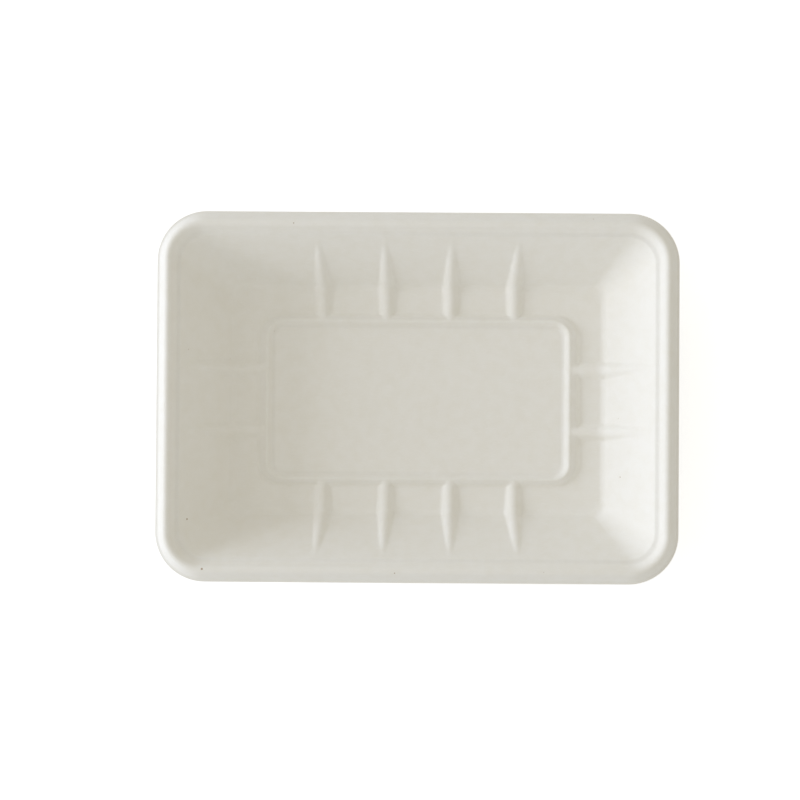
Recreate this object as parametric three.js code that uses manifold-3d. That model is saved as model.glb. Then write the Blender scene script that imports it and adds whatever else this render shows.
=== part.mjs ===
// Rectangular food tray moulded in one piece from sugar-cane pulp.
// Millimetres, +Z up, origin at the centre of the underside that stands on the table.
// The sheet has one even thickness, so every feature on top is hollow underneath.

import * as THREE from 'three';
import { ParametricGeometry } from 'three/addons/geometries/ParametricGeometry.js';
import { mergeVertices } from 'three/addons/utils/BufferGeometryUtils.js';
import Module from 'manifold-3d';

// Whole tray
const TRAY_LENGTH = 210;
const TRAY_WIDTH = 149;
const SHEET = 0.9;

// Insets are plan distances from the outer edge of the lip towards the middle.
// The rim is an arched ridge: its two slopes would meet at the apex, and its
// crest is rounded down from there to about 28 mm.
const LIP_WIDTH = 0.9;
const LIP_TOP = 22.9;
const RIM_INSET = 5.6;
const RIM_APEX = 28.85;
const RIM_ROUND = 2;

// A narrow level ledge joins the rim to the sloping wall.
const LEDGE_OUTER_INSET = 8.9;
const LEDGE_INNER_INSET = 9.7;
const LEDGE_TOP = 24.6;
const WALL_FOOT_INSET = 26.3;
const WALL_FOOT_ROUND = 4;
const FLOOR_TOP = 1.3;

// A bead with a step on its outer side runs round the middle panel. The step rises a
// little towards its outer edge. These are its insets on the long sides.
const BEAD_FOOT_INSET = 38;
const BEAD_FOOT_ROUND = 2;
const STEP_OUTER_INSET = 39.4;
const STEP_OUTER_TOP = 2.85;
const STEP_INNER_INSET = 40.1;
const STEP_INNER_TOP = 2.75;
const BEAD_INSET = 41;
const BEAD_APEX = 3.45;
const BEAD_ROUND = 1.1;
const PANEL_EDGE_INSET = 43.3;
const PANEL_FLAT_INSET = 48;
const PANEL_TOP = SHEET;

// Radii of the corners in plan at these insets, straight between them
const PLAN_CORNERS = [
  { inset: 0, radius: 20 },
  { inset: LEDGE_INNER_INSET, radius: 11 },
  { inset: WALL_FOOT_INSET, radius: 5.2 },
  { inset: BEAD_FOOT_INSET, radius: 10 },
  { inset: BEAD_INSET, radius: 6.5 },
  { inset: PANEL_EDGE_INSET, radius: 4 },
  { inset: PANEL_FLAT_INSET, radius: 2 },
];

// On the short sides the bead's outer side is broader: it reaches this much further
// out at these insets, straight between them.
const SHORT_SIDE_REACH = [
  { inset: WALL_FOOT_INSET, reach: 0 },
  { inset: BEAD_FOOT_INSET, reach: 1.5 },
  { inset: STEP_OUTER_INSET, reach: 1 },
  { inset: STEP_INNER_INSET, reach: 0.1 },
  { inset: BEAD_INSET, reach: 0 },
];

// Stiffening ribs start at the bead, cross the floor and run out on the wall.
const RIBS_PER_LONG_SIDE = 4;
const RIB_PITCH_LONG = 27.1;
const RIBS_PER_SHORT_SIDE = 2;
const RIB_PITCH_SHORT = 26.2;
const RIB_TOP_AT_BEAD = 2.95;
const RIB_TOP_AT_BEND = 3.4;
const RIB_ROUND = 3;
const RIB_FLANK = THREE.MathUtils.degToRad(40);
const RIB_BEND_INSET = 27.4;
const RIB_BEND_ROUND = 5;
const RIB_TIP_INSET = 12.3;
const RIB_BURIED_LENGTH = 3;
const RIB_DEPTH = 4.5;

// How finely the curves are divided
const PLAN_CORNER_STEPS = 8;
const RIM_STEPS = 6;
const WALL_FOOT_STEPS = 5;
const BEAD_STEPS = 4;
const BEAD_FOOT_STEPS = 3;
const RIB_TOP_STEPS = 8;
const RIB_BEND_STEPS = 4;

// The solids that are cut from each other reach this far below and past the tray.
const CUT_BELOW = 10;
const CUT_BEYOND = 6;

const PULP_COLOUR = '#ece9e0';
const PULP_ROUGHNESS = 0.85;

const wasm = await Module();
wasm.setup();

function leftOf(direction) {
  return new THREE.Vector2(-direction.y, direction.x);
}

// Walks a polyline and rounds each corner that has a radius with a tangent arc.
// Each point comes back with the way to its left, as long as keeps an offset even.
function roundedPath(corners) {
  const path = [];
  corners.forEach((corner, i) => {
    const here = new THREE.Vector2(corner.x, corner.y);
    const before = corners[i - 1] ?? corner;
    const after = corners[i + 1] ?? corner;
    const arriving = here.clone().sub(before).normalize();
    const leaving = new THREE.Vector2(after.x, after.y).sub(here).normalize();
    if (before === corner || after === corner) {
      path.push({ point: here, left: leftOf(before === corner ? leaving : arriving) });
      return;
    }
    const turn = Math.atan2(arriving.cross(leaving), arriving.dot(leaving));
    if (!corner.round) {
      const middle = leftOf(arriving).rotateAround(new THREE.Vector2(), turn / 2);
      path.push({ point: here, left: middle.divideScalar(Math.cos(turn / 2)) });
      return;
    }
    const radius = corner.round * Math.sign(turn);
    const start = here.clone().addScaledVector(arriving, -radius * Math.tan(turn / 2));
    const centre = start.clone().addScaledVector(leftOf(arriving), radius);
    for (let step = 0; step <= corner.steps; step += 1) {
      const angle = (turn * step) / corner.steps;
      const left = leftOf(arriving).rotateAround(new THREE.Vector2(), angle);
      path.push({ point: centre.clone().addScaledVector(left, -radius), left });
    }
  });
  return path;
}

// Turns a closed three.js geometry into a solid that can be joined and cut.
function solidFrom(geometry) {
  geometry.deleteAttribute('normal');
  geometry.deleteAttribute('uv');
  const merged = mergeVertices(geometry);
  const corners = [];
  for (let i = 0; i < merged.index.count; i += 3) {
    const [a, b, c] = [0, 1, 2].map((step) => merged.index.getX(i + step));
    if (a !== b && b !== c && c !== a) {
      corners.push(a, b, c);
    }
  }
  return new wasm.Manifold(new wasm.Mesh({
    numProp: 3,
    vertProperties: new Float32Array(merged.attributes.position.array),
    triVerts: new Uint32Array(corners),
  }));
}

// A value listed at some insets, straight between them and level beyond them.
function valueAt(inset, levels, key) {
  const next = levels.findIndex((level) => level.inset >= inset);
  if (next < 1) {
    return next === 0 ? levels[0][key] : levels.at(-1)[key];
  }
  const [before, after] = [levels[next - 1], levels[next]];
  return THREE.MathUtils.mapLinear(inset, before.inset, after.inset, before[key], after[key]);
}

// A solid bounded by rounded rectangles, each at its own inset, corner radius, height
// and reach on the short sides. The first and the last are closed by a flat face.
function stackOfRectangles(levels) {
  const ringSteps = 4 * (PLAN_CORNER_STEPS + 1);
  const stations = [{ ...levels[0], closed: true }, ...levels, { ...levels.at(-1), closed: true }];
  const surface = (u, v, target) => {
    const { inset, reach, corner, z, closed } = stations[Math.round(v * (stations.length - 1))];
    const index = Math.round(u * ringSteps) % ringSteps;
    const quarter = Math.floor(index / (PLAN_CORNER_STEPS + 1));
    const part = (index % (PLAN_CORNER_STEPS + 1)) / PLAN_CORNER_STEPS;
    const angle = ((quarter + part) * Math.PI) / 2;
    const alongX = quarter === 0 || quarter === 3 ? 1 : -1;
    const alongY = quarter < 2 ? 1 : -1;
    const x = alongX * (TRAY_LENGTH / 2 + reach - inset - corner) + corner * Math.cos(angle);
    const y = alongY * (TRAY_WIDTH / 2 - inset - corner) + corner * Math.sin(angle);
    target.set(closed ? 0 : x, closed ? 0 : y, z);
  };
  return solidFrom(new ParametricGeometry(surface, ringSteps, stations.length - 1));
}

// Everything below one face of the sheet: the top face at depth 0, or the underside
// at the depth of the sheet. It is as wide as the lip plus the given margin.
function belowFace(depth, margin) {
  const section = roundedPath([
    { x: 0, y: LIP_TOP },
    { x: LIP_WIDTH, y: LIP_TOP },
    { x: RIM_INSET, y: RIM_APEX, round: RIM_ROUND, steps: RIM_STEPS },
    { x: LEDGE_OUTER_INSET, y: LEDGE_TOP },
    { x: LEDGE_INNER_INSET, y: LEDGE_TOP },
    { x: WALL_FOOT_INSET, y: FLOOR_TOP, round: WALL_FOOT_ROUND, steps: WALL_FOOT_STEPS },
    { x: BEAD_FOOT_INSET, y: FLOOR_TOP, round: BEAD_FOOT_ROUND, steps: BEAD_FOOT_STEPS },
    { x: STEP_OUTER_INSET, y: STEP_OUTER_TOP },
    { x: STEP_INNER_INSET, y: STEP_INNER_TOP },
    { x: BEAD_INSET, y: BEAD_APEX, round: BEAD_ROUND, steps: BEAD_STEPS },
    { x: PANEL_EDGE_INSET, y: PANEL_TOP },
    { x: PANEL_FLAT_INSET, y: PANEL_TOP },
  ]);
  const face = section.slice(1).map(({ point, left }) => {
    return {
      inset: point.x - depth * left.x,
      reach: valueAt(point.x, SHORT_SIDE_REACH, 'reach'),
      corner: valueAt(point.x, PLAN_CORNERS, 'radius') + depth * left.x,
      z: point.y - depth * left.y,
    };
  });
  const side = { inset: -margin, reach: 0, corner: PLAN_CORNERS[0].radius + margin };
  return stackOfRectangles([
    { ...side, z: -CUT_BELOW - margin },
    { ...side, z: LIP_TOP - depth },
    ...face,
  ]);
}

// One rib as a ridge with a rounded top, its crest lowered by the given depth.
// It lies along Y with its tip outwards, measured from the outer edge of the lip.
function ridge(depth) {
  const wallSlope = (LEDGE_TOP - FLOOR_TOP) / (WALL_FOOT_INSET - LEDGE_INNER_INSET);
  const tipTop = FLOOR_TOP + wallSlope * (WALL_FOOT_INSET - RIB_TIP_INSET);
  const climb = (tipTop - RIB_TOP_AT_BEND) / (RIB_BEND_INSET - RIB_TIP_INSET);
  const crest = roundedPath([
    { x: RIB_TIP_INSET - RIB_BURIED_LENGTH, y: tipTop + climb * RIB_BURIED_LENGTH },
    { x: RIB_BEND_INSET, y: RIB_TOP_AT_BEND, round: RIB_BEND_ROUND, steps: RIB_BEND_STEPS },
    { x: BEAD_INSET, y: RIB_TOP_AT_BEAD },
  ]);
  const round = RIB_ROUND - depth;
  const shoulderDrop = round * (1 - Math.cos(RIB_FLANK));
  const footAcross = round * Math.sin(RIB_FLANK) + (RIB_DEPTH - shoulderDrop) / Math.tan(RIB_FLANK);
  const section = [new THREE.Vector2(footAcross, RIB_DEPTH)];
  for (let step = 0; step <= RIB_TOP_STEPS; step += 1) {
    const angle = RIB_FLANK * (1 - (2 * step) / RIB_TOP_STEPS);
    section.push(new THREE.Vector2(round * Math.sin(angle), round * (1 - Math.cos(angle))));
  }
  section.push(new THREE.Vector2(-footAcross, RIB_DEPTH));
  const stations = [{ ...crest[0], closed: true }, ...crest, { ...crest.at(-1), closed: true }];
  const surface = (u, v, target) => {
    const { point, left, closed } = stations[Math.round(v * (stations.length - 1))];
    const spot = section[Math.round(u * section.length) % section.length];
    const drop = depth + (closed ? RIB_DEPTH / 2 : spot.y);
    target.set(closed ? 0 : spot.x, drop * left.x - point.x, point.y - drop * left.y);
  };
  return new ParametricGeometry(surface, section.length, stations.length - 1);
}

// Places a ridge at every rib and joins them to the solid that is given.
function withRibs(solid, depth) {
  const sides = [
    { turn: 0, reach: TRAY_WIDTH / 2, count: RIBS_PER_LONG_SIDE, pitch: RIB_PITCH_LONG },
    { turn: Math.PI / 2, reach: TRAY_LENGTH / 2, count: RIBS_PER_SHORT_SIDE, pitch: RIB_PITCH_SHORT },
  ];
  let joined = solid;
  for (const { turn, reach, count, pitch } of sides) {
    for (const facing of [turn, turn + Math.PI]) {
      for (let i = 0; i < count; i += 1) {
        const rib = ridge(depth);
        rib.translate((i - (count - 1) / 2) * pitch, reach, 0);
        rib.rotateZ(facing);
        joined = joined.add(solidFrom(rib));
      }
    }
  }
  return joined;
}

const overall = withRibs(belowFace(0, 0), 0);
const hollow = withRibs(belowFace(SHEET, CUT_BEYOND), SHEET);
const sheet = overall.subtract(hollow).getMesh();

const geometry = new THREE.BufferGeometry();
geometry.setAttribute('position', new THREE.BufferAttribute(sheet.vertProperties, 3));
geometry.setIndex(new THREE.BufferAttribute(sheet.triVerts, 1));
geometry.computeVertexNormals();

const pulp = new THREE.MeshStandardMaterial({
  color: PULP_COLOUR,
  roughness: PULP_ROUGHNESS,
  metalness: 0,
});

const tray = new THREE.Mesh(geometry, pulp);
tray.name = 'tray';

const part = new THREE.Group();
part.add(tray);

export default part;
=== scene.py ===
import math

import bpy
import numpy as np
from mathutils import Matrix, Vector


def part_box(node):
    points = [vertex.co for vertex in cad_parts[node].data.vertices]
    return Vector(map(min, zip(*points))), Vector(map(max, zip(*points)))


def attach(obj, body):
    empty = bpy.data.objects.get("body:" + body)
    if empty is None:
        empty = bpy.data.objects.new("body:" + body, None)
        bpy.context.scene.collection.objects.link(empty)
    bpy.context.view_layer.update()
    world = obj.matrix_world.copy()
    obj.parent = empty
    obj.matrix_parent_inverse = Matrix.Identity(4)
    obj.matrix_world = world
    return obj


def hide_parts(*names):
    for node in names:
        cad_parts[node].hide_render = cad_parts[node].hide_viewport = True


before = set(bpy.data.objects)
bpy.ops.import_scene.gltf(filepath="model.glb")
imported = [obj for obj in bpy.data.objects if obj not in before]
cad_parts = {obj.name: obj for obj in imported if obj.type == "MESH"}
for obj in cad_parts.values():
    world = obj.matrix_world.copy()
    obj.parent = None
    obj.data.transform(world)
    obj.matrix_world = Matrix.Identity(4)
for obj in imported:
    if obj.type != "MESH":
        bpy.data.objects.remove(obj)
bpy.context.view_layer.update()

bl_info = {
    "name": "Pressed pulp food tray",
    "version": (1, 0, 0),
    "blender": (4, 5, 0),
    "location": "View3D > Sidebar > Pulp tray",
    "description": "Builds a ribbed rectangular food tray pressed from sugar-cane pulp",
    "category": "Add Mesh",
}

MM = 0.001
TRAY_LOW, TRAY_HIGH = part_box("tray")
TRAY_LENGTH = TRAY_HIGH[0] - TRAY_LOW[0]
TRAY_WIDTH = TRAY_HIGH[1] - TRAY_LOW[1]


# Settings

def length(name, text, millimetres):
    """A length property whose default is written in millimetres."""
    return bpy.props.FloatProperty(
        name=name, description=text, default=millimetres * MM, min=0.0,
        unit="LENGTH", subtype="DISTANCE", precision=5)


def colour(name, text, code):
    """A colour property whose default is an sRGB hex value."""
    return bpy.props.FloatVectorProperty(
        name=name, description=text, default=linear(code), size=3, min=0.0, max=1.0,
        subtype="COLOR")


def linear(code):
    """An sRGB hex value as the linear red, green and blue that the shaders take."""
    parts = [int(code[i:i + 2], 16) / 255 for i in (1, 3, 5)]
    return [p / 12.92 if p <= 0.04045 else ((p + 0.055) / 1.055) ** 2.4 for p in parts]


class TraySizes(bpy.types.PropertyGroup):
    """Sizes of the pressed sheet. An inset is the plan distance from the lip's edge."""
    sheet: length("Sheet", "Thickness of the pulp sheet", 0.9)
    lip_width: length("Lip width", "Flat lip outside the rim", 0.9)
    lip_top: length("Lip top", "Height of the lip's upper face", 22.9)
    rim_inset: length("Rim inset", "Inset of the rim's crest", 5.6)
    rim_apex: length("Rim apex", "Height at which the rim's slopes would meet", 28.85)
    rim_round: length("Rim rounding", "Radius of the rim's crest", 2.0)
    ledge_outer_inset: length("Ledge outer inset", "Inset of the ledge's outer edge", 8.9)
    ledge_inner_inset: length("Ledge inner inset", "Inset of the ledge's inner edge", 9.7)
    ledge_top: length("Ledge top", "Height of the level ledge", 24.6)
    wall_foot_inset: length("Wall foot inset", "Inset at which wall and floor meet", 26.3)
    wall_foot_round: length("Wall foot rounding", "Radius between wall and floor", 4.0)
    floor_top: length("Floor top", "Height of the floor outside the bead", 1.3)
    bead_foot_inset: length("Bead foot inset", "Inset of the bead's outer foot", 38.0)
    bead_foot_round: length("Bead foot rounding", "Radius at the bead's outer foot", 2.0)
    step_outer_inset: length("Step outer inset", "Inset of the bead step's outer edge", 39.4)
    step_outer_top: length("Step outer top", "Height of the bead step's outer edge", 2.85)
    step_inner_inset: length("Step inner inset", "Inset of the bead step's inner edge", 40.1)
    step_inner_top: length("Step inner top", "Height of the bead step's inner edge", 2.75)
    bead_inset: length("Bead inset", "Inset of the bead's crest", 41.0)
    bead_apex: length("Bead apex", "Height at which the bead's slopes would meet", 3.45)
    bead_round: length("Bead rounding", "Radius of the bead's crest", 1.1)
    panel_inset: length("Panel inset", "Inset of the middle panel's edge", 43.3)
    rib_at_bead: length("Rib top at the bead", "Height of a rib's crest at the bead", 2.95)
    rib_at_bend: length("Rib top at the bend", "Height of a rib's crest at the wall", 3.4)
    rib_round: length("Rib rounding", "Radius of the rib crests", 3.0)
    rib_bend_inset: length("Rib bend inset", "Inset at which a rib turns up the wall", 27.4)
    rib_bend_round: length("Rib bend rounding", "Radius of that bend", 5.0)
    rib_tip_inset: length("Rib tip inset", "Inset at which a rib runs out on the wall", 12.3)
    rib_pitch_long: length("Long side pitch", "Spacing of the ribs on a long side", 27.1)
    rib_pitch_short: length("Short side pitch", "Spacing of the ribs on a short side", 26.2)
    rib_blend: length("Rib blend", "How softly a rib's foot joins the sheet", 0.35)
    rib_flank: bpy.props.FloatProperty(
        name="Rib flank", description="Slope of a rib's sides", default=math.radians(40),
        min=0.1, max=1.4, unit="ROTATION", subtype="ANGLE")
    ribs_long: bpy.props.IntProperty(
        name="Ribs on a long side", description="Count on each long side", default=4, min=0)
    ribs_short: bpy.props.IntProperty(
        name="Ribs on a short side", description="Count on each short side", default=2, min=0)


class PulpFinish(bpy.types.PropertyGroup):
    """Colours and grain of the pressed pulp."""
    base: colour("Pulp", "Bleached sugar-cane pulp", "#EEECE6")
    cloud: colour("Cloud", "Thicker flocks of fibre", "#EAE7DE")
    fibre: colour("Fibre", "Fibres that lie on the skin", "#F3F1EC")
    fleck: colour("Fleck", "Specks of cane rind", "#9A7A52")
    cloud_size: length("Cloud size", "Breadth of the cloudy flocks", 5.0)
    fibre_size: length("Fibre size", "Breadth of a fibre as drawn", 0.35)
    fleck_spacing: length("Fleck spacing", "Mean distance between cane specks", 15.0)
    felt_size: length("Felt size", "Breadth of the felted skin's unevenness", 0.8)


class Studio(bpy.types.PropertyGroup):
    """Soft lamps round the tray and the light of the room."""
    key_power: bpy.props.FloatProperty(
        name="Key", description="Soft lamp low on the left", default=44.0, unit="POWER")
    far_power: bpy.props.FloatProperty(
        name="Far fill", description="Soft lamp beyond the far left corner", default=12.0,
        unit="POWER")
    high_power: bpy.props.FloatProperty(
        name="High fill", description="Soft lamp high on the left", default=6.0, unit="POWER")
    near_power: bpy.props.FloatProperty(
        name="Near fill", description="Soft lamp on the near side", default=8.0, unit="POWER")
    world_level: bpy.props.FloatProperty(
        name="Surround", description="Even light of the white room", default=0.635, min=0.0)
    key_colour: colour("Key colour", "Light of the key", "#EAF0FF")
    fill_colour: colour("Fill colour", "Light of the low fills", "#C8DCFF")
    room_colour: colour("Room colour", "Light of the white room", "#FFFCF2")


# Shape of the sheet

# Corner radius in plan, and how much broader the bead is on the short sides, both by
# inset in millimetres
PLAN_CORNERS_MM = ((0.0, 20.0), (9.7, 11.0), (26.3, 5.2), (38.0, 10.0), (41.0, 6.5),
                   (43.3, 4.0), (48.0, 2.0))
SHORT_SIDE_REACH_MM = ((26.3, 0.0), (38.0, 1.5), (39.4, 1.0), (40.1, 0.1), (41.0, 0.0))
PANEL_FLAT_INSET = 48.0 * MM

# Closeness of the mesh along the section and its arcs
SECTION_STEP = 1.0 * MM
ARC_PIECES_IN_STEP = 3
LEAST_ARC_PIECES = 3
# Points round a corner, over a rib, between two ribs, and from the outermost rib to
# the corner. The zone is half the width that a rib's own points cover.
CORNER_POINTS = 22
RIB_ZONE = 5.4 * MM
RIB_POINTS = 23
BETWEEN_POINTS = 8
OUTER_POINTS = 12
# Steps over the middle panel and round the lip's trimmed edge
PANEL_RINGS = 6
EDGE_STEPS = 6

# A rib's crest runs on under the wall beyond its tip, and past the bead's crest it
# dips by this fall for each unit of run
RIB_BURIED = 3.0 * MM
RIB_END = 1.2 * MM
RIB_END_FALL = 2.0
# Half the width within which a rib is looked for
RIB_REACH = 2 * RIB_ZONE
# A height in metres, well under the tray, for a point without a rib
NO_RIB = -1.0
# A rib more than this many times its blend below the sheet leaves the sheet as it is
BLEND_LIMIT = 10
# How far the trimmed edge bulges, as a share of half the sheet
EDGE_BULGE = 0.5
# Codes for the columns of the mesh along a long and along a short side
LONG_SIDE = 1
SHORT_SIDE = 2

# The pulp's skin. Noise between the two limits turns into cloud or into fibre, up to
# the share given. Fibres are noise stretched in three directions, each turned by an
# angle in radians and tilted by a share of it.
CLOUD_NOISE = (0.35, 0.75)
CLOUD_SHARE = 0.7
FIBRE_NOISE = (0.62, 0.76)
FIBRE_SHARE = 0.3
FIBRE_STRETCH = (0.12, 1.0, 1.0)
FIBRE_TURNS = (0.2, 1.3, 2.4)
FIBRE_TILT = 0.7
# A speck covers the pulp by this share in its core and fades to its edge. The small
# ones' radii are shares of their spacing, the large ones' core is a share of their
# radius.
SPECK_SHARE = 0.75
SMALL_SPECK_RADII = (0.010, 0.022)
LARGE_SPECK_CORE = 0.4
PULP_ROUGHNESS = (0.68, 0.92)
PULP_IOR = 1.47
# Heights of the skin's relief over the clouds and in the felt
CLOUD_RELIEF = 0.08 * MM
FELT_RELIEF = 0.03 * MM
# The larger cane specks that the photograph shows, as place and radius in millimetres
LARGE_FLECKS_MM = (((-61.8, 29.2, 1.0), 0.5), ((-92.7, -49.6, 20.9), 0.5),
                   ((-84.8, -68.7, 27.5), 0.6))

# The photograph's view: an overhead camera, as millimetres, radians and pixels
FRAME_PIXELS = 800
FOCAL_PIXELS = 875.73
AXIS_PIXEL = (428.75, 439.86)
SENSOR = 36.0
CAMERA_PLACE = (5.14 * MM, -19.64 * MM, 374.17 * MM)
CAMERA_TURN = (0.0075, 0.0015, 0.0067)

# The paper sweep: half its side in metres, its colour, the breadth of its tooth, its
# roughness, and the glow that makes it read as white
SWEEP_HALF = 3.0
SWEEP_PAPER = "#E8E8E8"
SWEEP_TOOTH = 2.0 * MM
SWEEP_ROUGHNESS = (0.85, 0.95)
SWEEP_GLOW = 0.55
# Soft lamps, as their place and their width and height in metres
KEY_LAMP = ((-2.9, 0.0, 0.78), (1.35, 1.5))
FAR_LAMP = ((-2.54, 1.47, 0.62), (1.35, 1.2))
HIGH_LAMP = ((-2.28, 0.61, 1.85), (1.6, 1.6))
NEAR_LAMP = ((0.0, -2.93, 0.62), (1.35, 1.2))


def left_of(way):
    """A plane direction turned a quarter to its left."""
    return np.array([-way[1], way[0]])


def rounded_path(corners, step):
    """Walks a polyline of (inset, height, radius) and rounds each corner with an arc
    tangent to both its lines: centre = start + radius * left. Straight runs are cut
    into pieces of about step, and arcs into pieces of about a third of it. Returns
    the points and, for each, the vector to its left that keeps an offset even."""
    points, lefts = [], []
    places = [np.array(corner[:2]) for corner in corners]
    ways = [(b - a) / np.linalg.norm(b - a) for a, b in zip(places, places[1:])]
    for i, place in enumerate(places):
        radius = corners[i][2] if len(corners[i]) > 2 else 0.0
        if i in (0, len(places) - 1):
            points.append(place[None])
            lefts.append(left_of(ways[min(i, len(ways) - 1)])[None])
            continue
        arriving, leaving = ways[i - 1], ways[i]
        turn = math.atan2(arriving[0] * leaving[1] - arriving[1] * leaving[0],
                          arriving @ leaving)
        if radius == 0.0:
            middle = left_of(arriving) + left_of(leaving)
            middle /= np.linalg.norm(middle)
            points.append(place[None])
            lefts.append((middle / math.cos(turn / 2))[None])
            continue
        signed = math.copysign(radius, turn)
        centre = place - arriving * signed * math.tan(turn / 2) + left_of(arriving) * signed
        count = max(LEAST_ARC_PIECES, int(abs(turn) * radius * ARC_PIECES_IN_STEP / step))
        angles = np.linspace(0, turn, count + 1)[:, None]
        left = left_of(arriving) * np.cos(angles) - arriving * np.sin(angles)
        points.append(centre - left * signed)
        lefts.append(left)
    runs, normals = [points[0]], [lefts[0]]
    for a, b, la, lb in zip(points, points[1:], lefts, lefts[1:]):
        count = max(1, int(np.linalg.norm(b[0] - a[-1]) / step))
        share = np.linspace(0, 1, count + 1)[1:-1, None]
        flat = left_of((b[0] - a[-1]) / np.linalg.norm(b[0] - a[-1]))
        runs += [a[-1] + (b[0] - a[-1]) * share, b]
        normals += [np.repeat(flat[None], len(share), 0), lb]
    return np.concatenate(runs), np.concatenate(normals)


def side_points(count, pitch):
    """Points along one straight side, as offset + stretch * corner centre. Between the
    outermost ribs the offset is fixed and closely spaced over each rib, so ribs run
    straight up the wall; beyond them the points stretch with the side."""
    centres = (np.arange(count) - (count - 1) / 2) * pitch
    inner = centres[-1] + RIB_ZONE
    over_rib = np.linspace(-RIB_ZONE, RIB_ZONE, RIB_POINTS)
    between = np.linspace(RIB_ZONE, pitch - RIB_ZONE, BETWEEN_POINTS)[1:-1]
    offset = np.concatenate([(centres[:, None] + over_rib).ravel(),
                             (centres[:-1, None] + between).ravel()])
    share = np.linspace(0, 1, OUTER_POINTS)[1:-1]
    offset = np.concatenate([-inner * share, np.sort(offset), inner * (1 - share)])
    stretch = np.zeros(len(offset))
    stretch[:len(share)] = share - 1
    stretch[-len(share):] = share
    return offset, stretch


def ring_layout(sizes):
    """The way round the tray, as six rows that hold at every inset: x and y are each
    offset + stretch * corner centre + outward * corner radius. Each quarter is a
    quarter circle followed by a straight side, turned from the one before it. A
    seventh row has the code of the side, and 0 round a corner."""
    blocks = []
    for quarter in range(4):
        long_side = quarter % 2 == 0
        offset, stretch = side_points(*((sizes.ribs_long, sizes.rib_pitch_long) if long_side
                                        else (sizes.ribs_short, sizes.rib_pitch_short)))
        angle = np.linspace(0, math.pi / 2, CORNER_POINTS)
        none, full = np.zeros_like(angle), np.ones_like(angle)
        corner = np.stack([none, full, np.cos(angle), none, full, np.sin(angle)])
        none, full = np.zeros_like(offset), np.ones_like(offset)
        straight = np.stack([-offset, -stretch, none, none, full, full])
        block = np.concatenate([corner, straight], axis=1)
        for _ in range(quarter):
            block = np.concatenate([-block[3:], block[:3]])
        side = np.zeros((1, block.shape[1]))
        side[0, len(angle):] = LONG_SIDE if long_side else SHORT_SIDE
        blocks.append(np.concatenate([block, side]))
    return np.concatenate(blocks, axis=1)


def by_inset(inset, table):
    """A value listed by inset, straight between the listed levels."""
    levels, values = np.array(table).T * MM
    return np.interp(inset, levels, values)


def rib_height(sizes, side, along, inset, depth):
    """Height of the rib surface over a plan point, far below the sheet where there is
    no rib. It is the crest's height less drop / cos(slope of the crest). The drop is
    that of an arc, radius - sqrt(radius^2 - across^2), as far as the arc is as steep as
    the flank, and of a straight flank beyond."""
    slope = (sizes.ledge_top - sizes.floor_top) / (sizes.wall_foot_inset
                                                   - sizes.ledge_inner_inset)
    tip_top = sizes.floor_top + slope * (sizes.wall_foot_inset - sizes.rib_tip_inset)
    climb = (tip_top - sizes.rib_at_bend) / (sizes.rib_bend_inset - sizes.rib_tip_inset)
    points, lefts = rounded_path((
        (sizes.rib_tip_inset - RIB_BURIED, tip_top + climb * RIB_BURIED),
        (sizes.rib_bend_inset, sizes.rib_at_bend, sizes.rib_bend_round),
        (sizes.bead_inset, sizes.rib_at_bead),
        (sizes.bead_inset + RIB_END, sizes.rib_at_bead - RIB_END_FALL * RIB_END)),
        SECTION_STEP)
    points = points - depth * lefts
    crest = np.interp(inset, points[:, 0], points[:, 1])
    steepness = np.interp(inset, points[:, 0], lefts[:, 1])
    round_now = sizes.rib_round - depth
    shoulder = round_now * math.sin(sizes.rib_flank)
    height = np.full(inset.shape, NO_RIB)
    for code, count, pitch in ((LONG_SIDE, sizes.ribs_long, sizes.rib_pitch_long),
                               (SHORT_SIDE, sizes.ribs_short, sizes.rib_pitch_short)):
        centres = (np.arange(count) - (count - 1) / 2) * pitch
        across = np.abs(along[..., None] - centres).min(axis=-1)
        drop = (round_now - np.sqrt(round_now ** 2 - across.clip(max=shoulder) ** 2)
                + (across - shoulder).clip(min=0.0) * math.tan(sizes.rib_flank))
        inside = (side == code) & (inset > points[0, 0]) & (inset < points[-1, 0])
        height = np.where(inside & (across < RIB_REACH), crest - drop / steepness, height)
    return height


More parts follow.
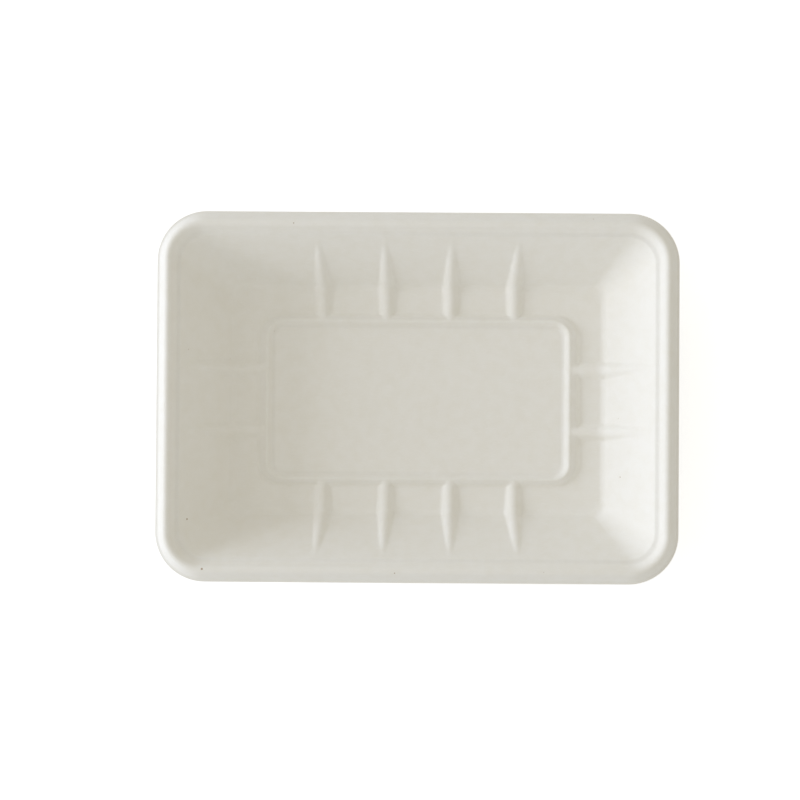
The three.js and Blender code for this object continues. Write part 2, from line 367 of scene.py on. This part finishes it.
def face_points(sizes, ring, depth):
    """One face of the sheet as a grid of points: rows from the lip to the middle
    panel, columns round the tray. The height is the smooth maximum of section and
    rib: (a + b + sqrt((a - b)^2 + k^2)) / 2 - k / 2 at the rib's foot."""
    s = sizes
    points, lefts = rounded_path((
        (0.0, s.lip_top), (s.lip_width, s.lip_top), (s.rim_inset, s.rim_apex, s.rim_round),
        (s.ledge_outer_inset, s.ledge_top), (s.ledge_inner_inset, s.ledge_top),
        (s.wall_foot_inset, s.floor_top, s.wall_foot_round),
        (s.bead_foot_inset, s.floor_top, s.bead_foot_round),
        (s.step_outer_inset, s.step_outer_top), (s.step_inner_inset, s.step_inner_top),
        (s.bead_inset, s.bead_apex, s.bead_round), (s.panel_inset, s.sheet),
        (PANEL_FLAT_INSET, s.sheet)), SECTION_STEP)
    inset = (points[:, 0] - depth * lefts[:, 0])[:, None]
    height = (points[:, 1] - depth * lefts[:, 1])[:, None]
    radius = by_inset(points[:, 0], PLAN_CORNERS_MM)[:, None] + points[:, :1] - inset
    reach = by_inset(points[:, 0], SHORT_SIDE_REACH_MM)[:, None]
    x = ring[0] + ring[1] * (TRAY_LENGTH / 2 + reach - inset - radius) + ring[2] * radius
    y = ring[3] + ring[4] * (TRAY_WIDTH / 2 - inset - radius) + ring[5] * radius
    side = np.broadcast_to(ring[6], x.shape)
    along = np.where(side == LONG_SIDE, x, y)
    from_edge = inset - np.where(side == SHORT_SIDE, reach, 0.0)
    rib = rib_height(s, side, along, from_edge, depth)
    apart = height - rib
    blend = np.sqrt(apart ** 2 + s.rib_blend ** 2)
    joined = (height + rib + blend) / 2
    z = np.where(apart < BLEND_LIMIT * s.rib_blend, joined, height)
    return np.stack([x, y, z], axis=-1)


def tray_points(sizes):
    """The closed skin from the underside's middle out to the lip, round its trimmed
    edge, and in over the top face to the middle of the panel. The edge is half an
    ellipse: inset = bulge * (1 - sin(angle)), height = middle - half * cos(angle)."""
    ring = ring_layout(sizes)
    top = face_points(sizes, ring, 0.0)
    under = face_points(sizes, ring, sizes.sheet)[::-1]
    shares = np.linspace(0, 1, PANEL_RINGS + 1)[1:, None, None]
    flat = np.array([1, 1, 0])
    under_panel = under[0] * (flat * shares + (1 - flat))
    top_panel = top[-1] * (flat * shares[::-1] + (1 - flat))
    edge = np.linspace(0, math.pi, EDGE_STEPS + 1)[:, None]
    half = sizes.sheet / 2
    inset = half * EDGE_BULGE * (1 - np.sin(edge))
    z = sizes.lip_top - half - half * np.cos(edge)
    radius = by_inset(0.0, PLAN_CORNERS_MM) - inset
    x = ring[0] + ring[1] * (TRAY_LENGTH / 2 - inset - radius) + ring[2] * radius
    y = ring[3] + ring[4] * (TRAY_WIDTH / 2 - inset - radius) + ring[5] * radius
    trimmed = np.stack([x, y, np.broadcast_to(z, x.shape)], axis=-1)
    return np.concatenate([under_panel[:-1], under[:-1], trimmed, top[1:], top_panel[1:]])


def closed_mesh(name, rows):
    """A closed surface from rows of points that each run round the same way. The
    first and the last row are each closed by a fan to a point in their middle."""
    count, around = rows.shape[:2]
    poles = np.array([[0, 0, rows[0, 0, 2]], [0, 0, rows[-1, 0, 2]]])
    vertices = np.concatenate([rows.reshape(-1, 3), poles])
    here = np.arange(around)
    after = np.roll(here, -1)
    base = (np.arange(count - 1) * around)[:, None]
    quads = np.stack([base + here, base + after, base + around + after, base + around + here],
                     axis=-1).reshape(-1, 4)
    low = np.stack([np.full(around, count * around), after, here], axis=-1)
    last = (count - 1) * around
    high = np.stack([last + here, last + after, np.full(around, count * around + 1)], axis=-1)
    mesh = bpy.data.meshes.new(name)
    mesh.from_pydata(vertices.tolist(), [], quads.tolist() + low.tolist() + high.tolist())
    mesh.validate()
    mesh.update()
    mesh.shade_smooth()
    return mesh


# Materials

def add_node(tree, kind, settings=None, inputs=None):
    """Adds a node with its settings. An input is either a value or an output socket."""
    node = tree.nodes.new(kind)
    for key, value in (settings or {}).items():
        setattr(node, key, value)
    for key, value in (inputs or {}).items():
        if isinstance(value, bpy.types.NodeSocket):
            tree.links.new(value, node.inputs[key])
        else:
            node.inputs[key].default_value = value
    return node


def new_material(name):
    """A node material with nothing but its output, with its tree and that output."""
    material = bpy.data.materials.new(name)
    material.use_nodes = True
    material.node_tree.nodes.clear()
    output = material.node_tree.nodes.new("ShaderNodeOutputMaterial")
    return material, material.node_tree, output


def seen_directly(tree):
    """An output that is 1 for rays from the camera, in a reflection or through glass,
    and 0 for the soft light that falls on surfaces."""
    rays = add_node(tree, "ShaderNodeLightPath")
    straight = add_node(tree, "ShaderNodeMath", {"operation": "MAXIMUM"}, {
        0: rays.outputs["Is Camera Ray"], 1: rays.outputs["Is Glossy Ray"]})
    return add_node(tree, "ShaderNodeMath", {"operation": "MAXIMUM"}, {
        0: straight.outputs[0], 1: rays.outputs["Is Transmission Ray"]}).outputs[0]


def pressed_bagasse(finish):
    """Bleached sugar-cane pulp, felted on a wire mould and hot-pressed. The eye sees a
    matt off-white skin with soft clouds of thicker fibre, single pale fibres lying on
    it, a rare brown speck of rind, and a fine felted unevenness under a low lamp. Real
    fibres are too fine to show, so they are drawn as coarse as they need to."""
    material, tree, output = new_material("bagasse_pulp_hot_pressed")
    place = add_node(tree, "ShaderNodeTexCoord").outputs["Object"]
    cloud = add_node(tree, "ShaderNodeTexNoise", {}, {
        "Vector": place, "Scale": 1 / finish.cloud_size, "Detail": 4.0, "Roughness": 0.6})
    felt = add_node(tree, "ShaderNodeTexNoise", {}, {
        "Vector": place, "Scale": 1 / finish.felt_size, "Detail": 3.0, "Roughness": 0.65})
    clouded = add_node(tree, "ShaderNodeMapRange", {}, {
        "Value": cloud.outputs["Fac"], "From Min": CLOUD_NOISE[0],
        "From Max": CLOUD_NOISE[1], "To Min": 0.0, "To Max": CLOUD_SHARE})
    skin = add_node(tree, "ShaderNodeMix", {"data_type": "RGBA"}, {
        0: clouded.outputs["Result"], 6: (*finish.base, 1), 7: (*finish.cloud, 1)})
    colour_now = skin.outputs[2]
    relief = felt.outputs["Fac"]
    for turn in FIBRE_TURNS:
        laid = add_node(tree, "ShaderNodeMapping", {}, {
            "Vector": place, "Rotation": (turn * FIBRE_TILT, 0.0, turn),
            "Scale": FIBRE_STRETCH})
        strand = add_node(tree, "ShaderNodeTexNoise", {}, {
            "Vector": laid.outputs["Vector"], "Scale": 1 / finish.fibre_size, "Detail": 1.0,
            "Distortion": 0.4})
        seen = add_node(tree, "ShaderNodeMapRange", {"interpolation_type": "SMOOTHSTEP"}, {
            "Value": strand.outputs["Fac"], "From Min": FIBRE_NOISE[0],
            "From Max": FIBRE_NOISE[1], "To Min": 0.0, "To Max": FIBRE_SHARE})
        laid_on = add_node(tree, "ShaderNodeMix", {"data_type": "RGBA"}, {
            0: seen.outputs["Result"], 6: colour_now, 7: (*finish.fibre, 1)})
        colour_now = laid_on.outputs[2]
        relief = add_node(tree, "ShaderNodeMath", {"operation": "ADD"}, {
            0: relief, 1: seen.outputs["Result"]}).outputs[0]
    speck = add_node(tree, "ShaderNodeTexVoronoi", {"feature": "F1"}, {
        "Vector": place, "Scale": 1 / finish.fleck_spacing, "Randomness": 1.0})
    small = add_node(tree, "ShaderNodeMapRange", {"interpolation_type": "SMOOTHSTEP"}, {
        "Value": speck.outputs["Distance"], "From Min": SMALL_SPECK_RADII[0],
        "From Max": SMALL_SPECK_RADII[1], "To Min": SPECK_SHARE, "To Max": 0.0})
    specks = small.outputs["Result"]
    for spot, radius in LARGE_FLECKS_MM:
        away = add_node(tree, "ShaderNodeVectorMath", {"operation": "DISTANCE"}, {
            0: place, 1: [value * MM for value in spot]})
        large = add_node(tree, "ShaderNodeMapRange", {"interpolation_type": "SMOOTHSTEP"}, {
            "Value": away.outputs["Value"], "From Min": LARGE_SPECK_CORE * radius * MM,
            "From Max": radius * MM, "To Min": SPECK_SHARE, "To Max": 0.0})
        specks = add_node(tree, "ShaderNodeMath", {"operation": "MAXIMUM"}, {
            0: specks, 1: large.outputs["Result"]}).outputs[0]
    flecked = add_node(tree, "ShaderNodeMix", {"data_type": "RGBA"}, {
        0: specks, 6: colour_now, 7: (*finish.fleck, 1)})
    rough = add_node(tree, "ShaderNodeMapRange", {}, {
        "Value": felt.outputs["Fac"], "To Min": PULP_ROUGHNESS[0],
        "To Max": PULP_ROUGHNESS[1]})
    bump_cloud = add_node(tree, "ShaderNodeBump", {}, {
        "Height": cloud.outputs["Fac"], "Strength": 0.3, "Distance": CLOUD_RELIEF})
    bump_felt = add_node(tree, "ShaderNodeBump", {}, {
        "Height": relief, "Strength": 0.25, "Distance": FELT_RELIEF,
        "Normal": bump_cloud.outputs["Normal"]})
    shader = add_node(tree, "ShaderNodeBsdfPrincipled", {}, {
        "Base Color": flecked.outputs[2], "Roughness": rough.outputs["Result"],
        "Normal": bump_felt.outputs["Normal"], "IOR": PULP_IOR,
        "Specular IOR Level": 0.35})
    tree.links.new(shader.outputs["BSDF"], output.inputs["Surface"])
    return material


def white_sweep():
    """Matt white paper sweep. Seen by the camera it is bright enough to read as white,
    and the tray's soft shadow is still laid on it."""
    material, tree, output = new_material("paper_sweep_matt")
    place = add_node(tree, "ShaderNodeTexCoord").outputs["Object"]
    tooth = add_node(tree, "ShaderNodeTexNoise", {}, {
        "Vector": place, "Scale": 1 / SWEEP_TOOTH, "Detail": 2.0})
    rough = add_node(tree, "ShaderNodeMapRange", {}, {
        "Value": tooth.outputs["Fac"], "To Min": SWEEP_ROUGHNESS[0],
        "To Max": SWEEP_ROUGHNESS[1]})
    paper = add_node(tree, "ShaderNodeBsdfPrincipled", {}, {
        "Base Color": (*linear(SWEEP_PAPER), 1), "Roughness": rough.outputs["Result"],
        "Specular IOR Level": 0.0})
    glow = add_node(tree, "ShaderNodeEmission", {}, {
        "Color": (1, 1, 1, 1), "Strength": SWEEP_GLOW})
    lit = add_node(tree, "ShaderNodeAddShader", {}, {
        0: paper.outputs["BSDF"], 1: glow.outputs["Emission"]})
    mixed = add_node(tree, "ShaderNodeMixShader", {}, {
        0: seen_directly(tree), 1: paper.outputs["BSDF"], 2: lit.outputs["Shader"]})
    tree.links.new(mixed.outputs["Shader"], output.inputs["Surface"])
    return material


# Operators and panel

class MESH_OT_pulp_tray(bpy.types.Operator):
    """Add the pressed tray: one sheet with lip, rim, ledge, walls, ribs and bead"""
    bl_idname = "mesh.add_pulp_tray"
    bl_label = "Pulp tray"
    bl_options = {"REGISTER", "UNDO"}

    def execute(self, context):
        rows = tray_points(context.scene.tray_sizes)
        tray = bpy.data.objects.new("pulp_sheet", closed_mesh("pulp_sheet", rows))
        tray.data.materials.append(pressed_bagasse(context.scene.pulp_finish))
        context.scene.collection.objects.link(tray)
        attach(tray, "root")
        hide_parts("tray")
        return {"FINISHED"}


class SCENE_OT_tray_stage(bpy.types.Operator):
    """Set the white sweep, the soft lamps, the room's light and the overhead camera"""
    bl_idname = "scene.set_tray_stage"
    bl_label = "White stage"
    bl_options = {"REGISTER", "UNDO"}

    def execute(self, context):
        scene = context.scene
        studio = scene.tray_studio
        scene.view_settings.view_transform = "Standard"
        self.lay_sweep(scene)
        self.hang_lamps(scene, studio)
        self.light_room(scene, studio)
        self.mount_camera(scene)
        return {"FINISHED"}

    def lay_sweep(self, scene):
        """A flat square of paper under the tray."""
        mesh = bpy.data.meshes.new("sweep")
        h = SWEEP_HALF
        mesh.from_pydata([(-h, -h, 0), (h, -h, 0), (h, h, 0), (-h, h, 0)], [], [(0, 1, 2, 3)])
        sweep = bpy.data.objects.new("sweep", mesh)
        mesh.materials.append(white_sweep())
        scene.collection.objects.link(sweep)

    def hang_lamps(self, scene, studio):
        """Each lamp is a soft rectangle that faces the tray's middle."""
        for name, (place, size), power, tint in (
                ("key", KEY_LAMP, studio.key_power, studio.key_colour),
                ("far_fill", FAR_LAMP, studio.far_power, studio.fill_colour),
                ("high_fill", HIGH_LAMP, studio.high_power, studio.key_colour),
                ("near_fill", NEAR_LAMP, studio.near_power, studio.fill_colour)):
            data = bpy.data.lights.new(name, "AREA")
            data.shape = "RECTANGLE"
            data.size, data.size_y = size
            data.energy = power
            data.color = tint
            lamp = bpy.data.objects.new(name, data)
            lamp.location = place
            lamp.rotation_euler = Vector(place).to_track_quat("Z", "Y").to_euler()
            scene.collection.objects.link(lamp)

    def light_room(self, scene, studio):
        """The world is the white room's even light, and pure white to the camera."""
        world = bpy.data.worlds.new("white_room")
        world.use_nodes = True
        tree = world.node_tree
        tree.nodes.clear()
        room = add_node(tree, "ShaderNodeBackground", {}, {
            "Color": (*studio.room_colour, 1), "Strength": studio.world_level})
        white = add_node(tree, "ShaderNodeBackground", {}, {
            "Color": (1, 1, 1, 1), "Strength": 1.0})
        mixed = add_node(tree, "ShaderNodeMixShader", {}, {
            0: seen_directly(tree), 1: room.outputs["Background"],
            2: white.outputs["Background"]})
        output = tree.nodes.new("ShaderNodeOutputWorld")
        tree.links.new(mixed.outputs["Shader"], output.inputs["Surface"])
        scene.world = world

    def mount_camera(self, scene):
        """The camera looks straight down from over the tray, turned a little."""
        data = bpy.data.cameras.new("overhead")
        data.sensor_width = SENSOR
        data.lens = FOCAL_PIXELS / FRAME_PIXELS * SENSOR
        data.shift_x = (FRAME_PIXELS / 2 - AXIS_PIXEL[0]) / FRAME_PIXELS
        data.shift_y = (AXIS_PIXEL[1] - FRAME_PIXELS / 2) / FRAME_PIXELS
        camera = bpy.data.objects.new("overhead", data)
        turn = (Matrix.Rotation(CAMERA_TURN[0], 4, "X") @ Matrix.Rotation(CAMERA_TURN[1], 4, "Y")
                @ Matrix.Rotation(CAMERA_TURN[2], 4, "Z"))
        camera.matrix_world = Matrix.Translation(CAMERA_PLACE) @ turn
        scene.collection.objects.link(camera)
        scene.camera = camera


class VIEW3D_PT_pulp_tray(bpy.types.Panel):
    """Lists the tray's pieces and their settings"""
    bl_label = "Pulp tray"
    bl_space_type = "VIEW_3D"
    bl_region_type = "UI"
    bl_category = "Pulp tray"

    def draw(self, context):
        layout = self.layout
        layout.operator(MESH_OT_pulp_tray.bl_idname)
        layout.operator(SCENE_OT_tray_stage.bl_idname)
        for group in (context.scene.tray_sizes, context.scene.pulp_finish,
                      context.scene.tray_studio):
            box = layout.box()
            for key in group.bl_rna.properties.keys():
                if key not in ("rna_type", "name"):
                    box.prop(group, key)


CLASSES = (TraySizes, PulpFinish, Studio, MESH_OT_pulp_tray, SCENE_OT_tray_stage,
           VIEW3D_PT_pulp_tray)


def register():
    for cls in CLASSES:
        bpy.utils.register_class(cls)
    bpy.types.Scene.tray_sizes = bpy.props.PointerProperty(type=TraySizes)
    bpy.types.Scene.pulp_finish = bpy.props.PointerProperty(type=PulpFinish)
    bpy.types.Scene.tray_studio = bpy.props.PointerProperty(type=Studio)


def unregister():
    del bpy.types.Scene.tray_studio
    del bpy.types.Scene.pulp_finish
    del bpy.types.Scene.tray_sizes
    for cls in reversed(CLASSES):
        bpy.utils.unregister_class(cls)


def main():
    register()
    bpy.ops.mesh.add_pulp_tray()
    bpy.ops.scene.set_tray_stage()


if __name__ == "__main__":
    main()
